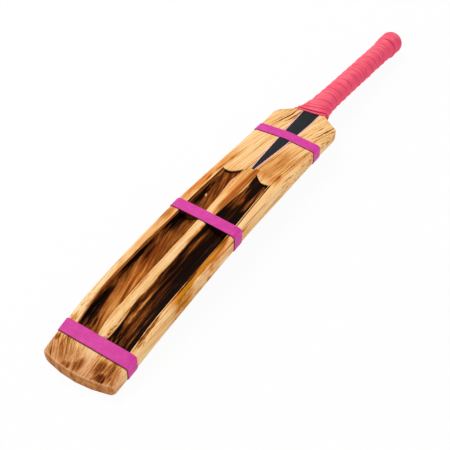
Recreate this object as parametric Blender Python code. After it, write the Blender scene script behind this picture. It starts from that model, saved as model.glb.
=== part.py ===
# Tennis ball cricket bat: burnt willow blade with two scoops, spliced cane handle and a wound grip.
# Metres, Z up. The bat lies on its face with its toe toward -X and its handle toward +X.
# Places along the bat are measured from the toe corners and moved to the middle at the end.

import math

import bmesh
import bpy
import numpy as np

# Clearance left between neighbouring pieces
GAP = 0.0003

# Heights that clear the whole bat, for cutters that run right through it
CUT_TOP = 0.1
CUT_BOTTOM = -0.05

# Blade outline
BLADE_WIDTH = 0.106
WAIST_TAPER = 0.0040
SHOULDER_TAPER = 0.0016
STRAIGHT_LENGTH = 0.538
SHOULDER_RADIUS = 0.012
SHOULDER_SLOPE = math.radians(56)
TOE_BULGE = 0.0083
TOE_ROUND = 0.0022
TOE_BLEND = 0.022

# Blade side view: height of the face line and thickness of the side wall at six places
RISE_AT = 0.036
HEEL_AT = 0.100
SWELL_AT = 0.270
FACE_TOE = 0.0010
FACE_RISE = 0.0044
FACE_HEEL = 0.0115
FACE_SWELL = 0.0243
FACE_TIP = 0.0230
FACE_BAND = 0.0223
FACE_SHOULDER = 0.0226
THICK_TOE = 0.0147
THICK_RISE = 0.0215
THICK_HEEL = 0.0278
THICK_SWELL = 0.0247
THICK_TIP = 0.0239
THICK_BAND = 0.0211
THICK_SHOULDER = 0.0180

# Blade cross-section
FACE_CROWN = 0.0012
FACE_EDGE_RADIUS = 0.0065
BACK_CHAMFER_WIDTH = 0.0035
BACK_CHAMFER_RISE = 0.0020
RIDGE_RADIUS = 0.006
ROOF_SWELL = 0.0008
ROOF_TIP = 0.0024
ROOF_BAND = 0.0032
ROOF_SHOULDER = 0.0031

# Scoops in the back
SCOOP_TOE_END = 0.0385
SCOOP_TOE_STAGGER = 0.0006
SCOOP_DEPTH = 0.0112
SCOOP_MOUTH_SHARE = 0.24
SCOOP_JOINED_SHARE = 0.6
SCOOP_OVERLAP = 0.0015
SCOOP_RAMP = 0.085
SCOOP_WIDTH_LEFT = 0.0420
SCOOP_WIDTH_RIGHT = 0.0432
SCOOP_MOUTH_WIDTH = 0.0367
MOUTH_CORNER_TO_TIP = 0.0188
MOUTH_BELLY_TO_TIP = 0.0195
MOUTH_SPINE_TO_TIP = 0.0065
SPINE_AT_MOUTH = 0.0095
SPINE_CREST = 0.0028
SPINE_NOSE_AT = 0.0475
SPINE_NOSE_LENGTH = 0.006
SCOOP_TOE_NARROWING = 0.0045

# Rows of the sheet that cuts each scoop, and how much closer they stand toward its ends, 0 to 1
SCOOP_ROWS_ACROSS = 14
SCOOP_ROWS_ALONG = 34
SCOOP_END_CLOSENESS = 0.6

# Splice between the blade and the handle
SPLICE_LENGTH = 0.1705
SPLICE_TIP_WIDTH = 0.0036
SPLICE_TOP_WIDTH = 0.0254
SPLICE_CURVE = 1.45
SPLICE_OFFSET = 0.0012
COVER_THICKNESS = 0.0005
COVER_UNDER_GRIP = 0.002
COVER_LAP = 0.0006
PIPING_WIDTH = 0.0013

# Neck and handle
NECK_WIDTH = 0.0565
NECK_LEVEL = 0.0408
NECK_BACK = 0.0056
NECK_FRONT = 0.0200
NECK_FLARE = 0.0160
EAR_LENGTH = 0.0300
EAR_BLEND_MARGIN = 0.004
OVAL_START = 0.020
OVAL_BLEND = 0.015
HANDLE_LENGTH = 0.2978
HANDLE_HEIGHT = 0.0370
HANDLE_BEND_SPAN = 0.030
HANDLE_CANT = math.radians(4.02)
CANE_RADIUS = 0.0127
CANE_MIDDLE_WIDTH = 0.0086
RUBBER_STRIP_THICKNESS = 0.0015
RUBBER_STRIP_SPACING = 0.0065
TWINE_THICKNESS = 0.0008

# Boxes that the strips are cut from: half size, run past the ends, and width where one may start
STRIP_REACH = 0.03
STRIP_OVERRUN = 0.002
STRIP_LEAST_WIDTH = 0.0012

# Grip
SLEEVE_THICKNESS = 0.0012
HEM_SADDLE = 0.0060
HEM_SLANT = 0.0030
HEM_ABOVE_NECK = 0.0030
HEM_FADE = 0.055
LIP_THICKNESS = 0.0020
LIP_LENGTH = 0.0034
WRAP_START = 0.0044
WRAP_PITCH = 0.018
WRAP_THIN_EDGE = 0.0008
WRAP_THICK_EDGE = 0.0016
WRAP_TURN_GAP = 0.0006
WRAP_POINT_WIDTH = 0.0016
WRAP_LEAD = 0.0045
KNOB_RADIUS = 0.0175
COLLAR_EDGE = 0.0006
KNOB_RAMP_START = 0.0355
KNOB_RAMP_END = 0.0265
PLUG_THICKNESS = 0.0052
PLUG_ROUND = 0.0046

# Binding bands
BAND_WIDTH = 0.0179
BAND_THICKNESS = 0.0007
TOE_BAND_AT = 0.0364
MIDDLE_BAND_AT = 0.2697
SHOULDER_BAND_TO_NECK = 0.0746
TOE_BAND_SKEW = 0.0022
MIDDLE_BAND_SKEW = 0.0046
SHOULDER_BAND_SKEW = 0.0027

# Facets round the handle, shared by every round layer so that their clearances stay even
SIDES = 24

# Places that follow from the sizes above
WAIST_WIDTH = BLADE_WIDTH - WAIST_TAPER
SHOULDER_WIDTH = BLADE_WIDTH - SHOULDER_TAPER
SHOULDER_LINE = STRAIGHT_LENGTH + SHOULDER_RADIUS * math.sin(SHOULDER_SLOPE)
SHOULDER_DROP = SHOULDER_WIDTH / 2 - SHOULDER_RADIUS * (1 - math.cos(SHOULDER_SLOPE))
NECK_AT = SHOULDER_LINE + (SHOULDER_DROP - NECK_WIDTH / 2) / math.tan(SHOULDER_SLOPE)
TIP_AT = NECK_AT - SPLICE_LENGTH
SHOULDER_BAND_AT = NECK_AT - SHOULDER_BAND_TO_NECK
EAR_END = NECK_AT + EAR_LENGTH
HANDLE_BEND_AT = EAR_END + HANDLE_BEND_SPAN / 2
HANDLE_END = NECK_AT + HANDLE_LENGTH
CANE_END = HANDLE_END - PLUG_THICKNESS - GAP
COVER_END = NECK_AT + COVER_UNDER_GRIP
RECESS_DEPTH = COVER_THICKNESS + GAP
TWINE_RADIUS = CANE_RADIUS + GAP + TWINE_THICKNESS
HEM_AT = NECK_AT + HEM_ABOVE_NECK

# The middle of the bat's length, from the toe's arc to the upper rim of the end plug's flat
PLUG_RADIUS = KNOB_RADIUS + GAP + WRAP_THIN_EDGE
PLUG_REACH = PLUG_THICKNESS * math.cos(HANDLE_CANT)
PLUG_REACH += (PLUG_RADIUS - PLUG_ROUND) * math.sin(HANDLE_CANT)
ORIGIN_X = (CANE_END + GAP + PLUG_REACH - TOE_BULGE) / 2


def smooth(t):
    t = min(max(t, 0.0), 1.0)
    return t * t * (3 - 2 * t)


def mix(a, b, t):
    return a + (b - a) * t


def curve(x, knots):
    """Smooth curve through a few (place, value) knots, level beyond the first and last."""
    places = [k[0] for k in knots]
    values = [k[1] for k in knots]
    if x <= places[0]:
        return values[0]
    if x >= places[-1]:
        return values[-1]
    i = max(j for j in range(len(places) - 1) if places[j] <= x)
    slopes = []
    for j in (i, i + 1):
        low = max(j - 1, 0)
        high = min(j + 1, len(places) - 1)
        slopes.append((values[high] - values[low]) / (places[high] - places[low]))
    h = places[i + 1] - places[i]
    t = (x - places[i]) / h
    return (
        values[i] * (2 * t**3 - 3 * t**2 + 1)
        + slopes[0] * h * (t**3 - 2 * t**2 + t)
        + values[i + 1] * (3 * t**2 - 2 * t**3)
        + slopes[1] * h * (t**3 - t**2)
    )


# Blade shape


def face_height(x):
    return curve(x, [
        (0.0, FACE_TOE),
        (RISE_AT, FACE_RISE),
        (HEEL_AT, FACE_HEEL),
        (SWELL_AT, FACE_SWELL),
        (TIP_AT, FACE_TIP),
        (SHOULDER_BAND_AT, FACE_BAND),
        (SHOULDER_LINE, FACE_SHOULDER),
    ])


def side_thickness(x):
    return curve(x, [
        (0.0, THICK_TOE),
        (RISE_AT, THICK_RISE),
        (HEEL_AT, THICK_HEEL),
        (SWELL_AT, THICK_SWELL),
        (TIP_AT, THICK_TIP),
        (SHOULDER_BAND_AT, THICK_BAND),
        (SHOULDER_LINE, THICK_SHOULDER),
    ])


def roof_height(x):
    return curve(x, [
        (RISE_AT, 0.0),
        (SWELL_AT, ROOF_SWELL),
        (TIP_AT, ROOF_TIP),
        (SHOULDER_BAND_AT, ROOF_BAND),
        (SHOULDER_LINE, ROOF_SHOULDER),
    ])


def half_width(x):
    """Half width of the wood: parallel sides, rounded shoulders, then the flared neck."""
    if x <= STRAIGHT_LENGTH:
        return curve(x, [
            (SWELL_AT, BLADE_WIDTH / 2),
            (SHOULDER_BAND_AT, WAIST_WIDTH / 2),
            (STRAIGHT_LENGTH, SHOULDER_WIDTH / 2),
        ])
    if x <= SHOULDER_LINE:
        along = x - STRAIGHT_LENGTH
        return SHOULDER_WIDTH / 2 - SHOULDER_RADIUS + math.sqrt(SHOULDER_RADIUS**2 - along**2)
    if x <= NECK_AT:
        return SHOULDER_DROP - (x - SHOULDER_LINE) * math.tan(SHOULDER_SLOPE)
    return TWINE_RADIUS + (NECK_WIDTH / 2 - TWINE_RADIUS) * math.exp(-(x - NECK_AT) / NECK_FLARE)


def handle_height(x):
    """Height of the handle's middle line: level in the splice, then straight down at its cant."""
    past = x - HANDLE_BEND_AT
    half = HANDLE_BEND_SPAN / 2
    if past <= -half:
        return HANDLE_HEIGHT
    if past >= half:
        return HANDLE_HEIGHT - math.tan(HANDLE_CANT) * past
    return HANDLE_HEIGHT - math.tan(HANDLE_CANT) * (past + half) ** 2 / (4 * half)


def handle_up(x):
    """Unit vector square to the handle's line, in the X Z plane."""
    half = HANDLE_BEND_SPAN / 2
    turned = min(max((x - HANDLE_BEND_AT + half) / (2 * half), 0.0), 1.0)
    angle = math.atan(math.tan(HANDLE_CANT) * turned)
    return (math.sin(angle), math.cos(angle))


def neck_oval(x):
    """Oval of the neck: height of its widest line, half heights above and below, squareness."""
    past = max(x - NECK_AT, 0.0)
    fade = math.exp(-past / (NECK_FLARE * 0.65))
    level = mix(handle_height(x), NECK_LEVEL, fade)
    back = mix(TWINE_RADIUS, NECK_BACK, fade)
    front = mix(TWINE_RADIUS, NECK_FRONT, fade)
    return level, back, front, 2.0 + 0.5 * math.exp(-past / NECK_FLARE)


def oval_fall(x, y):
    """Share of the oval's half height that is left at a distance y from the middle."""
    share = min(abs(y) / half_width(x), 1.0)
    power = neck_oval(x)[3]
    return max((1 - share**power) ** (1 / power), 0.05)


def oval_share(x):
    """Rises from 0 on the blade's slab to 1 where its section has become the neck's oval."""
    return smooth((x - NECK_AT + OVAL_START) / OVAL_BLEND)


def back_height(x, y):
    """Height of the uncut back of the blade, roofed and chamfered, turning oval at the neck."""
    half = half_width(x)
    chamfer = min(BACK_CHAMFER_WIDTH, half * 0.2)
    rise = BACK_CHAMFER_RISE * mix(0.6, 1.0, smooth(x / HEEL_AT))
    edge = face_height(x) + side_thickness(x)
    inner = half - chamfer
    if abs(y) >= inner:
        slab = edge + rise * (half - abs(y)) / chamfer
    else:
        run = math.hypot(y, RIDGE_RADIUS) - RIDGE_RADIUS
        full = math.hypot(inner, RIDGE_RADIUS) - RIDGE_RADIUS
        slab = edge + rise + roof_height(x) * (1 - run / full)
    share = oval_share(x)
    if share <= 0.0:
        return slab
    level, back, front, power = neck_oval(x)
    return mix(slab, level + back * oval_fall(x, y), share)


def face_edge_radius(x):
    return min(FACE_EDGE_RADIUS, half_width(x) * 0.35)


def front_height(x, y, lift=0.0):
    """Height of the face, a little crowned; a lift follows its rounded edge."""
    flat = half_width(x) - face_edge_radius(x)
    crown = FACE_CROWN * (1 - min(abs(y) / flat, 1.0) ** 2)
    slab = face_height(x) + lift - crown
    level, back, front, power = neck_oval(x)
    return mix(slab, level - front * oval_fall(x, y), oval_share(x))


def blade_section(x):
    """Closed outline of the uncut blade at x, as (y, z) points, back first and then the face."""
    half = half_width(x)
    chamfer = min(BACK_CHAMFER_WIDTH, half * 0.2)
    shares = [1.0, 1 - chamfer / half, 0.75, 0.5, 0.34, 0.22, 0.12]
    across = [half * s for s in shares] + [0.0] + [-half * s for s in reversed(shares)]
    points = [(y, back_height(x, y)) for y in across]
    radius = face_edge_radius(x)
    flat = half - radius
    edge = []
    for degrees in (0, 30, 60, 90):
        angle = math.radians(degrees)
        edge.append((flat + radius * math.cos(angle), radius * (1 - math.sin(angle))))
    face = [(-y, lift) for y, lift in edge]
    face += [(flat * s, 0.0) for s in (-0.5, 0.0, 0.5)]
    face += list(reversed(edge))
    points += [(y, front_height(x, y, lift)) for y, lift in face]
    return points


# Mesh helpers


def clear_file():
    for thing in list(bpy.data.objects):
        bpy.data.objects.remove(thing)


def new_material(name, colour, roughness):
    material = bpy.data.materials.new(name)
    material.use_nodes = True
    shader = material.node_tree.nodes["Principled BSDF"]
    shader.inputs["Base Color"].default_value = (*colour, 1.0)
    shader.inputs["Roughness"].default_value = roughness
    material.diffuse_color = (*colour, 1.0)
    return material


def new_solid(name, points, faces, material=None, rounded=False):
    """Mesh object from design points, moved so that the middle of the bat is at X = 0."""
    mesh = bpy.data.meshes.new(name)
    moved = [(x - ORIGIN_X, y, z) for x, y, z in points]
    mesh.from_pydata(moved, [], faces)
    work = bmesh.new()
    work.from_mesh(mesh)
    bmesh.ops.triangulate(work, faces=[f for f in work.faces if len(f.verts) > 4])
    bmesh.ops.recalc_face_normals(work, faces=work.faces)
    work.to_mesh(mesh)
    work.free()
    if rounded:
        mesh.shade_smooth()
    thing = bpy.data.objects.new(name, mesh)
    bpy.context.collection.objects.link(thing)
    if material:
        mesh.materials.append(material)
    return thing


def loft(rings, closed=False):
    """Points and faces of a body through equal rings, capped at both ends or joined end to end."""
    count = len(rings[0])
    points = [p for ring in rings for p in ring]
    faces = []
    spans = len(rings) if closed else len(rings) - 1
    for i in range(spans):
        a = i * count
        b = (i + 1) % len(rings) * count
        for k in range(count):
            n = (k + 1) % count
            faces.append((a + k, a + n, b + n, b + k))
    if not closed:
        faces.append(tuple(range(count - 1, -1, -1)))
        last = (len(rings) - 1) * count
        faces.append(tuple(range(last, last + count)))
    return points, faces


def cap_with_strips(points, faces, first, last, count, top):
    """Replace flat caps by strips between the back row and the face row of an end section."""
    for start in (first, last):
        for k in range(top - 1):
            low_a = count - 1 - round(k * (count - top - 1) / (top - 1))
            low_b = count - 1 - round((k + 1) * (count - top - 1) / (top - 1))
            if low_a == low_b:
                faces.append((start + k, start + k + 1, start + low_a))
            else:
                faces.append((start + k, start + k + 1, start + low_b, start + low_a))


def cutter(thing):
    thing.hide_render = True
    thing.display_type = "WIRE"
    return thing


def combine(thing, other, operation):
    step = thing.modifiers.new(operation.title(), "BOOLEAN")
    step.operation = operation
    step.solver = "EXACT"
    step.object = other


def spaced(start, end, count):
    return [mix(start, end, i / (count - 1)) for i in range(count)]


# Blade


def toe_shift(x, y):
    """How far the arc of the toe pushes a point out, fading to nothing up the blade."""
    share = y / half_width(x)
    return TOE_BULGE * (1 - share * share) * (1 - smooth(x / TOE_BLEND))


def blade_ring(x, inset=0.0):
    half = half_width(x)
    ring = []
    middle = face_height(x) + side_thickness(x) / 2
    for y, z in blade_section(x):
        y *= 1 - inset / half
        z += inset if z < middle else -inset
        ring.append((x - toe_shift(x, y), y, z))
    return ring


def blade_stations():
    stations = [TOE_ROUND]
    stations += spaced(TOE_BLEND * 0.4, TOE_BLEND, 3)
    stations += [RISE_AT, mix(RISE_AT, HEEL_AT, 0.33), mix(RISE_AT, HEEL_AT, 0.66)]
    stations += spaced(HEEL_AT, SWELL_AT, 6)
    stations += spaced(SWELL_AT, TIP_AT, 5)[1:]
    stations += spaced(TIP_AT, STRAIGHT_LENGTH, 8)[1:]
    for share in (0.33, 0.62, 0.85, 1.0):
        stations.append(STRAIGHT_LENGTH + SHOULDER_RADIUS * math.sin(SHOULDER_SLOPE * share))
    stations += spaced(SHOULDER_LINE, NECK_AT, 4)[1:]
    stations += spaced(NECK_AT, EAR_END, 7)[1:]
    return stations


def scoop_depth(v):
    """Depth across a scoop as a share of the full depth: 0 at its outer wall, 1 at the spine."""
    return curve(v, [
        (0.0, 0.80),
        (0.09, 0.95),
        (0.28, 1.0),
        (0.48, 0.86),
        (0.68, 0.54),
        (0.84, 0.22),
        (0.94, 0.05),
        (1.0, -0.08),
    ])


def scoop_outer(x, side):
    """Distance of a scoop's outer wall from the middle of the blade."""
    if side > 0:
        return curve(x, [
            (SCOOP_TOE_END, SCOOP_WIDTH_LEFT - SCOOP_TOE_NARROWING),
            (HEEL_AT, SCOOP_WIDTH_LEFT),
            (SWELL_AT, mix(SCOOP_WIDTH_LEFT, SCOOP_MOUTH_WIDTH, 0.8)),
            (TIP_AT - MOUTH_CORNER_TO_TIP, SCOOP_MOUTH_WIDTH),
        ])
    return curve(x, [
        (SCOOP_TOE_END, SCOOP_WIDTH_RIGHT),
        (SWELL_AT - 0.02, SCOOP_WIDTH_RIGHT),
        (TIP_AT - MOUTH_CORNER_TO_TIP, SCOOP_MOUTH_WIDTH),
    ])


def nose_share(x):
    """Rises from 0 in the well at the toe, where the two scoops join, to 1 on the spine."""
    return smooth((x - SPINE_NOSE_AT + SPINE_NOSE_LENGTH) / SPINE_NOSE_LENGTH)


def scoop_inner(x):
    """Distance of a scoop's spine edge from the middle; past the nose the two scoops join."""
    near = curve(x, [
        (SCOOP_TOE_END, SPINE_CREST),
        (SWELL_AT, SPINE_CREST),
        (TIP_AT - MOUTH_SPINE_TO_TIP, SPINE_AT_MOUTH),
    ])
    return mix(-SCOOP_OVERLAP, near, nose_share(x))


def scoop_floor(x, y, v):
    mouth = TIP_AT - MOUTH_SPINE_TO_TIP
    along = mix(1.0, SCOOP_MOUTH_SHARE, smooth((x - mouth + SCOOP_RAMP) / SCOOP_RAMP))
    near = smooth((x - mouth + SCOOP_RAMP * 0.4) / (SCOOP_RAMP * 0.4))
    share = mix(scoop_depth(v), min(1.0, (1 - v) * 9 - 0.08), near)
    joined = max(share, SCOOP_JOINED_SHARE * (1 - 0.4 * v))
    share = mix(joined, share, nose_share(x))
    depth = SCOOP_DEPTH * share * (along if share > 0 else 1.0)
    return back_height(x, y) - depth


def scoop_cutter(name, side):
    """Cutter of one scoop: its floor as a fine sheet, closer set at both ends, under a flat lid."""
    across = spaced(0.0, 1.0, SCOOP_ROWS_ACROSS)
    even = spaced(0.0, 1.0, SCOOP_ROWS_ALONG)
    along = [mix(u, (1 - math.cos(math.pi * u)) / 2, SCOOP_END_CLOSENESS) for u in even]
    rows = []
    start = SCOOP_TOE_END + (SCOOP_TOE_STAGGER if side > 0 else 0.0)
    for u in along:
        floor = []
        for v in across:
            end = curve(v, [
                (0.0, TIP_AT - MOUTH_CORNER_TO_TIP),
                (0.45, TIP_AT - MOUTH_BELLY_TO_TIP),
                (1.0, TIP_AT - MOUTH_SPINE_TO_TIP),
            ])
            x = mix(start, end, u)
            y = mix(scoop_outer(x, side), scoop_inner(x), v)
            floor.append((x, side * y, scoop_floor(x, y, v)))
        lid = [(x, y, CUT_TOP) for x, y, z in reversed(floor)]
        rows.append(floor + lid)
    points, faces = loft(rows)
    faces = faces[:-2]
    width = len(across)
    for start in (0, (len(along) - 1) * 2 * width):
        for k in range(width - 1):
            low = start + k
            high = start + 2 * width - 1 - k
            faces.append((low, low + 1, high - 1, high))
    return cutter(new_solid(name, points, faces))


def handle_share(x):
    """Rises from 0 where the cane is the splice's wedge to 1 where it is the round handle."""
    start = COVER_END + EAR_BLEND_MARGIN
    return smooth((x - start) / (EAR_END - EAR_BLEND_MARGIN / 2 - start))


def splice_middle(x):
    """Sideways place of the splice, which drifts a little to the right on its way up."""
    drift = smooth(2 * (x - TIP_AT) / SPLICE_LENGTH)
    return -SPLICE_OFFSET * drift * (1 - handle_share(x))


def splice_half(x):
    """Half width of the black cover over the splice, pointed at its tip and bowed outward."""
    t = min(max((x - TIP_AT) / SPLICE_LENGTH, 0.0), 1.0)
    return mix(SPLICE_TIP_WIDTH, SPLICE_TOP_WIDTH, 1 - (1 - t) ** SPLICE_CURVE) / 2


def wedge_half(x):
    return splice_half(x) - COVER_LAP


def splice_slot():
    rings = []
    for x in spaced(TIP_AT - GAP, HANDLE_BEND_AT, 26):
        half = mix(wedge_half(x), CANE_RADIUS, handle_share(x)) + GAP
        left = splice_middle(x) + half
        right = splice_middle(x) - half
        corners = ((left, CUT_TOP), (right, CUT_TOP), (right, CUT_BOTTOM), (left, CUT_BOTTOM))
        rings.append([(x, y, z) for y, z in corners])
    return cutter(new_solid("splice_slot_cutter", *loft(rings)))


def splice_stations():
    return [mix(TIP_AT, NECK_AT, t) for t in (0, 0.06, 0.15, 0.28, 0.42, 0.57, 0.72, 0.86, 0.95, 1.0)]


def cover_recess():
    rings = []
    start = TIP_AT - GAP - PIPING_WIDTH
    for x in [start] + splice_stations() + [COVER_END + GAP]:
        half = splice_half(x) + PIPING_WIDTH + 2 * GAP
        across = spaced(splice_middle(x) + half, splice_middle(x) - half, 9)
        low = [(x, y, back_height(x, y) - RECESS_DEPTH) for y in across]
        rings.append(low + [(x, across[-1], CUT_TOP), (x, across[0], CUT_TOP)])
    return cutter(new_solid("cover_recess_cutter", *loft(rings)))


def build_blade(material):
    rings = [blade_ring(0.0, TOE_ROUND), blade_ring(TOE_ROUND * 0.3, TOE_ROUND * 0.3)]
    rings += [blade_ring(x) for x in blade_stations()]
    points, faces = loft(rings)
    faces = faces[:-2]
    count = len(rings[0])
    cap_with_strips(points, faces, 0, (len(rings) - 1) * count, count, 15)
    blade = new_solid("blade", points, faces, material)
    combine(blade, scoop_cutter("left_scoop_cutter", 1), "DIFFERENCE")
    combine(blade, scoop_cutter("right_scoop_cutter", -1), "DIFFERENCE")
    combine(blade, splice_slot(), "DIFFERENCE")
    combine(blade, cover_recess(), "DIFFERENCE")


# Splice cover and its two pink pipings, let into the back


def inlay(name, edges, stations, material):
    """Thin strip flush with the back between two edges, each a distance from the splice's middle."""
    rings = []
    for x in stations:
        across = [splice_middle(x) + y for y in spaced(*edges(x), 7)]
        top = [(x, y, back_height(x, y)) for y in across]
        low = [(x, y, z - COVER_THICKNESS) for x, y, z in reversed(top)]
        rings.append(top + low)
    new_solid(name, *loft(rings), material)


def build_splice_trim(black, pink):
    stations = splice_stations() + [COVER_END]
    inlay("splice_cover", lambda x: (splice_half(x), -splice_half(x)), stations, black)
    for name, side in (("splice_piping_left", 1), ("splice_piping_right", -1)):
        inlay(
            name,
            lambda x, side=side: (
                side * (splice_half(x) + GAP + PIPING_WIDTH),
                side * (splice_half(x) + GAP),
            ),
            stations,
            pink,
        )


# Binding bands


def grown(outline, distance):
    """Outline moved outward by a distance, square to its sides."""
    points = np.array(outline)
    before = points - np.roll(points, 1, axis=0)
    after = np.roll(points, -1, axis=0) - points
    area = np.sum(points[:, 0] * np.roll(points[:, 1], -1) - np.roll(points[:, 0], -1) * points[:, 1])
    turn = 1.0 if area > 0 else -1.0
    normals = []
    for edge in (before, after):
        edge = edge / np.linalg.norm(edge, axis=1)[:, None]
        normals.append(np.stack([edge[:, 1], -edge[:, 0]], axis=1) * turn)
    joint = normals[0] + normals[1]
    joint = joint / np.sum(joint * normals[0], axis=1)[:, None]
    return points + joint * distance


def build_band(name, place, skew, material):
    """Taut ring of tape round the uncut section, so it bridges the scoops from rim to rim."""
    rings = []
    half = half_width(place)
    for lift in (GAP, GAP + BAND_THICKNESS):
        row = []
        for share in (-0.5, -0.17, 0.17, 0.5):
            ring = []
            for k in range(len(blade_section(place))):
                start = place + share * BAND_WIDTH
                x = start + skew * blade_section(start)[k][0] / half
                y, z = grown(blade_section(x), lift)[k]
                ring.append((x, y, z))
            row.append(ring)
        rings.append(row)
    path = rings[0] + list(reversed(rings[1]))
    new_solid(name, *loft(path, closed=True), material)


# Handle


def handle_point(x, y, up, middle=None):
    """Point at a sideways distance y and a height up, measured square to the handle's line."""
    dx, dz = handle_up(x)
    base = handle_height(x) if middle is None else middle
    return (x + up * dx, y, base + up * dz)


def oval_point(x, grow, angle):
    """Point of the neck's oval grown by a clearance or wall; a circle further up the handle."""
    level, back, front, squareness = neck_oval(x)
    c = math.cos(angle)
    s = math.sin(angle)
    tall = back if s > 0 else front
    across = (half_width(x) + grow) * math.copysign(abs(c) ** (2 / squareness), c)
    up = (tall + grow) * math.copysign(abs(s) ** (2 / squareness), s)
    return handle_point(x, across, up, level)


def plug_point(along, size, angle):
    """Point of the end plug, which sits square on the canted end of the handle."""
    x, y, z = handle_point(CANE_END + GAP, size * math.cos(angle), size * math.sin(angle))
    return (x + along * math.cos(HANDLE_CANT), y, z - along * math.sin(HANDLE_CANT))


def angles():
    return [2 * math.pi * k / SIDES for k in range(SIDES)]


def blank_ring(x):
    """Section of the whole cane blank: the splice's wedge low down, round up the handle."""
    share = handle_share(x)
    quarter = SIDES // 4
    row = spaced(splice_middle(x) + wedge_half(x), splice_middle(x) - wedge_half(x), SIDES // 2 - 1)
    back = [(y, back_height(x, y) - RECESS_DEPTH) for y in row]
    front = [(y, front_height(x, y)) for y in reversed(row)]
    middle = (back[quarter - 1][1] + front[quarter - 1][1]) / 2
    wedge = [(row[0], middle)] + back + [(row[-1], middle)] + front
    ring = []
    for k, angle in enumerate(angles()):
        y, z = wedge[k]
        round_y = CANE_RADIUS * math.cos(angle)
        round_up = CANE_RADIUS * math.sin(angle)
        if share >= 1.0:
            ring.append(handle_point(x, round_y, round_up))
        else:
            ring.append((x, mix(y, round_y, share), mix(z, handle_height(x) + round_up, share)))
    return ring


def handle_stations(start, end):
    """Ring places between two ends, closer together where the neck flares."""
    inner = splice_stations()[1:]
    inner += [mix(COVER_END, EAR_END, t) for t in (0.07, 0.3, 0.5, 0.7, 1.0)]
    inner += [HANDLE_BEND_AT, HANDLE_BEND_AT + HANDLE_BEND_SPAN / 2]
    inner += spaced(HANDLE_BEND_AT + 0.05, HANDLE_END, 4)[:-1]
    return [start] + [x for x in sorted(inner) if start + 0.003 < x < end - 0.003] + [end]


def build_blank():
    rings = [blank_ring(x) for x in handle_stations(TIP_AT, CANE_END)]
    blank = new_solid("cane_blank", *loft(rings))
    return cutter(blank)


def cell(name, start, left, right, low, high, blank, material):
    """One strip of the handle: a long box that follows the handle, kept where the blank is."""
    rings = []
    for x in handle_stations(start, CANE_END + 2 * STRIP_OVERRUN):
        corners = ((left, high), (right, high), (right, low), (left, low))
        rings.append([handle_point(x, y, up) for y, up in corners])
    strip = new_solid(name, *loft(rings), material)
    combine(strip, blank, "INTERSECT")


def place_where_half(width):
    """Where the splice's wedge first reaches a half width, counted from its tip."""
    steps = [mix(TIP_AT, NECK_AT, i / 200) for i in range(201)]
    return next((x for x in steps if wedge_half(x) + splice_middle(x) >= width), NECK_AT)


def build_handle_core(blank, cane, rubber):
    half = CANE_MIDDLE_WIDTH / 2
    columns = (
        ("left", STRIP_REACH, half + GAP / 2),
        ("middle", half - GAP / 2, -half + GAP / 2),
        ("right", -half - GAP / 2, -STRIP_REACH),
    )
    wall = RUBBER_STRIP_THICKNESS / 2
    levels = [-RUBBER_STRIP_SPACING, 0.0, RUBBER_STRIP_SPACING]
    bounds = [-STRIP_REACH] + levels + [STRIP_REACH]
    beside = place_where_half(half + STRIP_LEAST_WIDTH)
    for name, left, right in columns:
        start = TIP_AT - STRIP_OVERRUN if name == "middle" else beside
        for i, layer in enumerate(("face", "lower", "upper", "back")):
            low = bounds[i] + (wall + GAP if i > 0 else 0.0)
            high = bounds[i + 1] - (wall + GAP if i < 3 else 0.0)
            cell(f"cane_strip_{layer}_{name}", start, left, right, low, high, blank, cane)
    for name, level in zip(("face", "middle", "back"), levels):
        cell(
            f"rubber_strip_{name}", TIP_AT - STRIP_OVERRUN, STRIP_REACH, -STRIP_REACH,
            level - wall, level + wall, blank, rubber,
        )


def tube(name, stations, inner, outer, material):
    """Closed round wall: rings out along the outside and back along the inside."""
    rings = [[outer(x, angle) for angle in angles()] for x in stations]
    rings += [[inner(x, angle) for angle in angles()] for x in reversed(stations)]
    new_solid(name, *loft(rings, closed=True), material, rounded=True)


def round_point(radius):
    def point(x, angle):
        size = radius(x)
        return handle_point(x, size * math.cos(angle), size * math.sin(angle))

    return point


def build_twine(material):
    tube(
        "twine_binding",
        handle_stations(EAR_END + GAP, CANE_END),
        round_point(lambda x: CANE_RADIUS + GAP),
        round_point(lambda x: TWINE_RADIUS),
        material,
    )


# Grip


def saddle(u, angle):
    """Where a point of the grip lies along the bat: the hem reaches further down back and face."""
    fade = 1 - smooth((u - HEM_AT) / HEM_FADE)
    return u - (HEM_SADDLE * math.sin(angle) ** 2 + HEM_SLANT * math.cos(angle)) * fade


def sleeve_wall(u):
    """Wall of the rubber sleeve: a rolled lip at the hem, then even."""
    past = (u - HEM_AT) / LIP_LENGTH
    return curve(past, [
        (0.0, LIP_THICKNESS * 0.6),
        (0.3, LIP_THICKNESS),
        (0.7, LIP_THICKNESS),
        (1.0, SLEEVE_THICKNESS),
        (1.3, SLEEVE_THICKNESS),
    ])


def knob_ramp(x):
    start = HANDLE_END - KNOB_RAMP_START
    end = HANDLE_END - KNOB_RAMP_END
    return min(max((x - start) / (end - start), 0.0), 1.0)


def sleeve_stations():
    stations = [HEM_AT + LIP_LENGTH * s for s in (0.0, 0.3, 0.7, 1.0)]
    stations += [HEM_AT + d for d in (0.0065, 0.010, 0.014, 0.019, 0.026, 0.036, 0.050, 0.068)]
    stations += spaced(HEM_AT + 0.09, CANE_END, 7)
    return stations


def build_sleeve(material):
    tube(
        "grip_sleeve",
        sleeve_stations(),
        lambda u, angle: oval_point(saddle(u, angle), GAP, angle),
        lambda u, angle: oval_point(saddle(u, angle), GAP + sleeve_wall(u), angle),
        material,
    )


def collar_radius(x):
    base = TWINE_RADIUS + 2 * GAP + SLEEVE_THICKNESS
    return mix(base + COLLAR_EDGE, KNOB_RADIUS, knob_ramp(x))


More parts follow.
